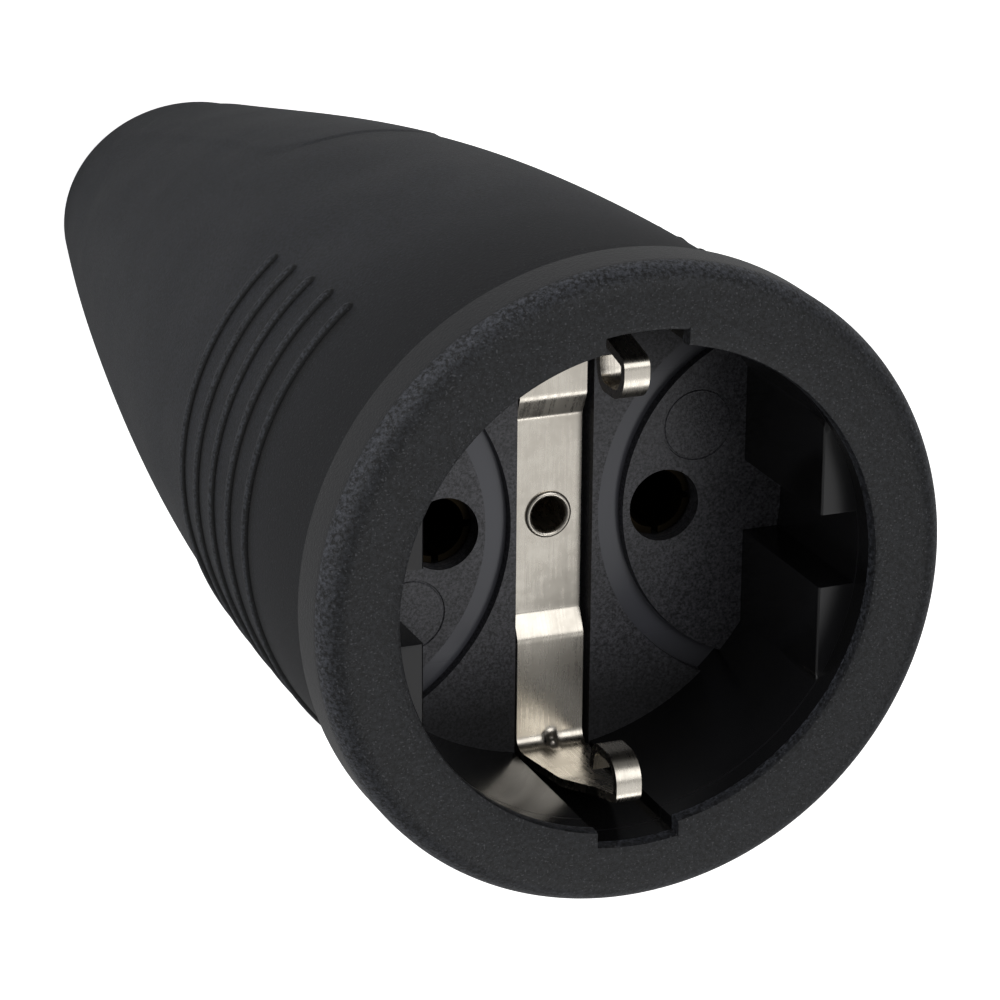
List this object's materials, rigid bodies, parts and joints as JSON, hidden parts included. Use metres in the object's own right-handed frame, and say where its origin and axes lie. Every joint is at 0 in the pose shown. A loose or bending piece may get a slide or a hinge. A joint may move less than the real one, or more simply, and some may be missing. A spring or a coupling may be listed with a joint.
{
  "type": "inline socket connector",
  "caption": "Rubber inline coupling socket for a cord's end: a round earthed well with side earth clips, pin contacts behind its floor and a tapered sleeve with an inlet for the cord.",
  "frame": {"origin": "centre of the flat end face of the tail, where the cord enters", "axes": "+Z along the axis and out of the mouth, X through the two pin holes, Y along the earth strap; it stands on its tail end with the mouth up"},
  "size_m": [0.0516, 0.0516, 0.112],
  "materials": {
    "rubber": "fine moulded texture, coarser on the collar",
    "moulded_insert": "satin floor and polished well wall",
    "moulded_carrier": "plain moulded",
    "plated_strip": "bright nickel plating on rolled strip",
    "brass_rivet": "nickel-plated, bright edge",
    "contact_brass": "turned",
    "spring_steel": "rolled",
    "zinc_steel": "zinc plated"
  },
  "bodies": {
    "root": {"rubber_housing": "rubber", "socket_insert": "moulded_insert", "rear_carrier": "moulded_carrier", "cord_saddle": "moulded_carrier", "earth_strap": "plated_strip", "strap_rivet": "brass_rivet", "left_contact_sleeve": "contact_brass", "right_contact_sleeve": "contact_brass", "left_spring_band": "spring_steel", "right_spring_band": "spring_steel", "left_terminal_block": "contact_brass", "right_terminal_block": "contact_brass", "earth_terminal": "contact_brass", "left_terminal_screw": "zinc_steel", "right_terminal_screw": "zinc_steel", "earth_terminal_screw": "zinc_steel", "left_wire_plate": "spring_steel", "right_wire_plate": "spring_steel", "earth_wire_plate": "spring_steel", "saddle_screws": "zinc_steel", "saddle_nuts": "zinc_steel", "carrier_screws": "zinc_steel"}
  },
  "joints": []
}
